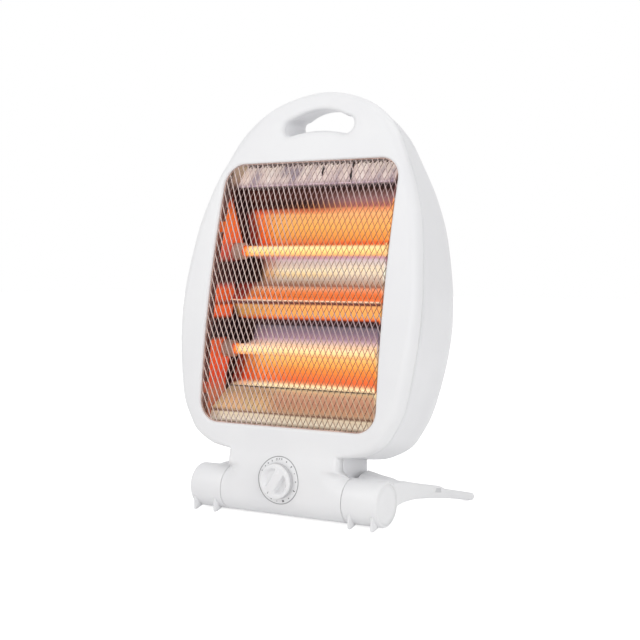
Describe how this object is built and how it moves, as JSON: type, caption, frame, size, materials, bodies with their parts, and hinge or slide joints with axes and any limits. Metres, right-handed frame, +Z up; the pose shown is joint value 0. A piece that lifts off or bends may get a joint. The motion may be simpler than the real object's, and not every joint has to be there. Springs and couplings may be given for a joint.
{
  "type": "quartz heater",
  "caption": "Free-standing quartz heater: egg-shaped casing with handle hole, wire guard, reflector and tubes, tilting on a barrel stand with two rear legs, with a rotary knob.",
  "frame": {"origin": "on the floor, under the middle of the whole part's box", "axes": "+Z up, +X to the right as seen from the front, the heater faces -Y"},
  "size_m": [0.2514, 0.1892, 0.3855],
  "materials": {
    "white_plastic": "satin moulded plastic",
    "white_plastic_rear": "satin moulded plastic, a little greyer",
    "white_gloss": "smooth moulded plastic",
    "guard_steel": "plated expanded metal",
    "bright_sheet": "bright rolled sheet",
    "copper_sheet": "bright sheet with a warm reflection",
    "plated_steel": "zinc plated",
    "quartz": "milky quartz glass",
    "glowing_coil": "resistance wire, glowing",
    "end_ceramic": "matt ceramic",
    "brass": "plain",
    "dark_plastic": "matt",
    "lead_sleeve": "silicone sleeve"
  },
  "bodies": {
    "stand": {"stand_end_left": "white_plastic", "stand_end_right": "white_plastic", "stand_cap_left": "white_plastic", "stand_cap_right": "white_plastic", "leg_left": "white_plastic", "leg_right": "white_plastic", "stand_crossbar": "white_plastic", "pivot_axle_left": "plated_steel", "pivot_axle_right": "plated_steel", "pivot_nut_left": "plated_steel", "pivot_nut_right": "plated_steel"},
    "casing": {"front_cover": "white_plastic", "rear_cover": "white_plastic_rear", "guard_mesh": "guard_steel", "reflector": "bright_sheet", "top_plate": "bright_sheet", "bottom_plate": "copper_sheet", "reflector_end_left": "bright_sheet", "reflector_end_right": "bright_sheet", "end_plate_screw_left_1": "plated_steel", "end_plate_screw_left_2": "plated_steel", "end_plate_screw_right_1": "plated_steel", "end_plate_screw_right_2": "plated_steel", "heat_shield": "plated_steel", "upper_quartz_tube": "quartz", "lower_quartz_tube": "quartz", "upper_heating_coil": "glowing_coil", "lower_heating_coil": "glowing_coil", "upper_cap_left": "end_ceramic", "upper_cap_right": "end_ceramic", "lower_cap_left": "end_ceramic", "lower_cap_right": "end_ceramic", "upper_terminal_left": "brass", "upper_terminal_right": "brass", "lower_terminal_left": "brass", "lower_terminal_right": "brass", "rotary_switch": "dark_plastic", "dial_plate": "white_plastic", "tip_switch_bracket": "plated_steel", "tip_switch_pin": "plated_steel", "micro_switch": "dark_plastic", "cord_inlet": "dark_plastic", "terminal_block": "end_ceramic", "terminal_screw_left": "brass", "terminal_screw_right": "brass", "link_wire": "lead_sleeve", "upper_lead": "lead_sleeve", "lower_lead": "lead_sleeve", "supply_lead": "lead_sleeve", "friction_washer_left": "dark_plastic", "friction_washer_right": "dark_plastic", "casing_screw_1": "plated_steel", "casing_screw_2": "plated_steel", "casing_screw_3": "plated_steel", "casing_screw_4": "plated_steel"},
    "knob": {"knob": "white_gloss", "switch_shaft": "brass"},
    "tip_weight": {"tip_switch_weight": "plated_steel"}
  },
  "joints": [
    {"name": "casing_tilt", "type": "hinge", "parent": "stand", "child": "casing", "pos_m": [0, -0.0674, 0.0212], "axis": [-1, 0, 0], "range_deg": [-10, 18]},
    {"name": "knob_turn", "type": "hinge", "parent": "casing", "child": "knob", "pos_m": [0, -0.0904, 0.0358], "axis": [0, 1, 0], "range_deg": [0, 270]},
    {"name": "tip_weight_swing", "type": "hinge", "parent": "casing", "child": "tip_weight", "pos_m": [0.041, -0.0384, 0.062], "axis": [1, 0, 0], "range_deg": [-18, 18]}
  ]
}
